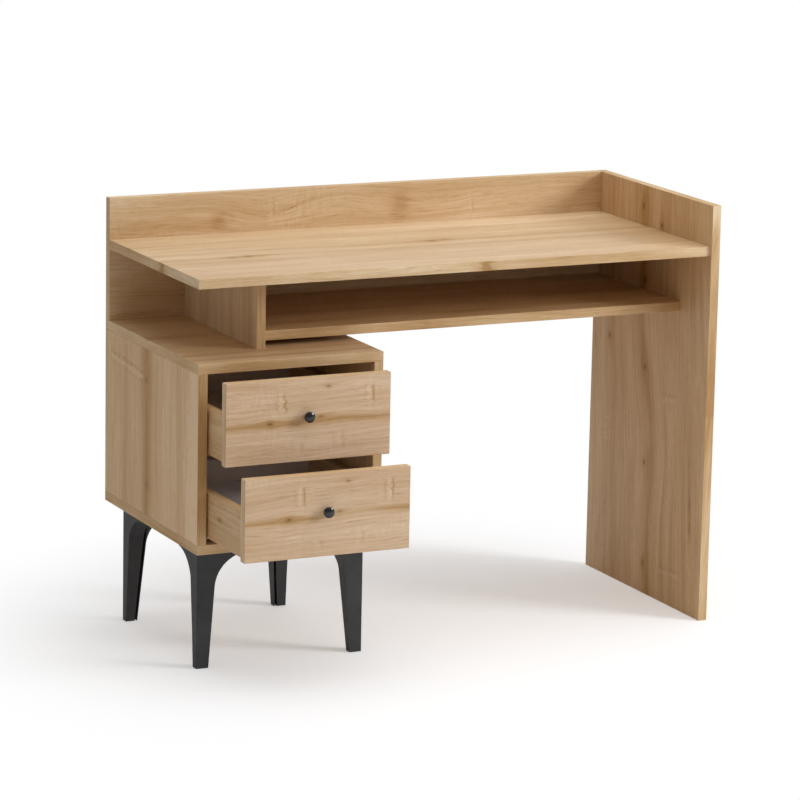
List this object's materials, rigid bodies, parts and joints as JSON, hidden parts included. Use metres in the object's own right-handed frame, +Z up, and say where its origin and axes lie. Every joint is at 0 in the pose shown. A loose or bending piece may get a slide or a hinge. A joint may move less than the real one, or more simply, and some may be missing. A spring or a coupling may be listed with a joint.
{
  "type": "computer desk",
  "caption": "Oak-look board desk with a raised back edge, a full end panel, a shelf under the top and a drawer pedestal on moulded corner legs.",
  "frame": {"origin": "on the floor, in the middle of the whole object's box with its drawers as they stand", "axes": "+X to the right along the desktop, +Y to the back, +Z up"},
  "size_m": [1.05, 0.638, 0.8],
  "materials": {
    "oak_board": "satin oak-decor melamine",
    "white_board": "white lacquered board",
    "black_plastic": "matt moulded",
    "gunmetal": "gunmetal lacquer",
    "zinc_steel": "zinc plated",
    "nylon": "natural nylon",
    "dowel_beech": "raw beech"
  },
  "bodies": {
    "carcass": {"right_side_panel": "oak_board", "back_panel": "oak_board", "desktop": "oak_board", "divider_panel": "oak_board", "keyboard_shelf": "oak_board", "pedestal_top": "oak_board", "pedestal_bottom": "oak_board", "pedestal_left_side": "oak_board", "pedestal_right_side": "oak_board", "pedestal_back": "white_board", "leg_front_left": "black_plastic", "leg_front_right": "black_plastic", "leg_rear_left": "black_plastic", "leg_rear_right": "black_plastic", "leg_screws": "zinc_steel", "cam_bolts": "zinc_steel", "cam_locks": "zinc_steel", "dowels": "dowel_beech", "carcass_screws": "zinc_steel", "rail_screws": "zinc_steel", "upper_left_cabinet_rail": "zinc_steel", "upper_right_cabinet_rail": "zinc_steel", "lower_left_cabinet_rail": "zinc_steel", "lower_right_cabinet_rail": "zinc_steel"},
    "upper_drawer": {"upper_drawer_front": "oak_board", "upper_drawer_left_side": "oak_board", "upper_drawer_right_side": "oak_board", "upper_drawer_back": "white_board", "upper_drawer_bottom": "white_board", "upper_drawer_knob": "gunmetal", "upper_drawer_knob_screw": "zinc_steel", "upper_drawer_left_rail": "zinc_steel", "upper_drawer_right_rail": "zinc_steel", "upper_drawer_cam_bolts": "zinc_steel", "upper_drawer_cam_locks": "zinc_steel", "upper_drawer_dowels": "dowel_beech", "upper_drawer_box_screws": "zinc_steel"},
    "upper_carriages": {"upper_left_carriage": "nylon", "upper_right_carriage": "nylon"},
    "lower_drawer": {"lower_drawer_front": "oak_board", "lower_drawer_left_side": "oak_board", "lower_drawer_right_side": "oak_board", "lower_drawer_back": "white_board", "lower_drawer_bottom": "white_board", "lower_drawer_knob": "gunmetal", "lower_drawer_knob_screw": "zinc_steel", "lower_drawer_left_rail": "zinc_steel", "lower_drawer_right_rail": "zinc_steel", "lower_drawer_cam_bolts": "zinc_steel", "lower_drawer_cam_locks": "zinc_steel", "lower_drawer_dowels": "dowel_beech", "lower_drawer_box_screws": "zinc_steel"},
    "lower_carriages": {"lower_left_carriage": "nylon", "lower_right_carriage": "nylon"}
  },
  "joints": [
    {"name": "upper_drawer_slide", "type": "slide", "parent": "carcass", "child": "upper_drawer", "axis": [0, -1, 0], "range_m": [-0.077, 0.223]},
    {"name": "upper_carriage_slide", "type": "slide", "parent": "carcass", "child": "upper_carriages", "axis": [0, -1, 0], "range_m": [-0.0385, 0.1115]},
    {"name": "lower_drawer_slide", "type": "slide", "parent": "carcass", "child": "lower_drawer", "axis": [0, -1, 0], "range_m": [-0.166, 0.134]},
    {"name": "lower_carriage_slide", "type": "slide", "parent": "carcass", "child": "lower_carriages", "axis": [0, -1, 0], "range_m": [-0.083, 0.067]}
  ],
  "couplings": [
    {"joint": "upper_carriage_slide", "follows": "upper_drawer_slide", "ratio": 0.5},
    {"joint": "lower_carriage_slide", "follows": "lower_drawer_slide", "ratio": 0.5}
  ]
}
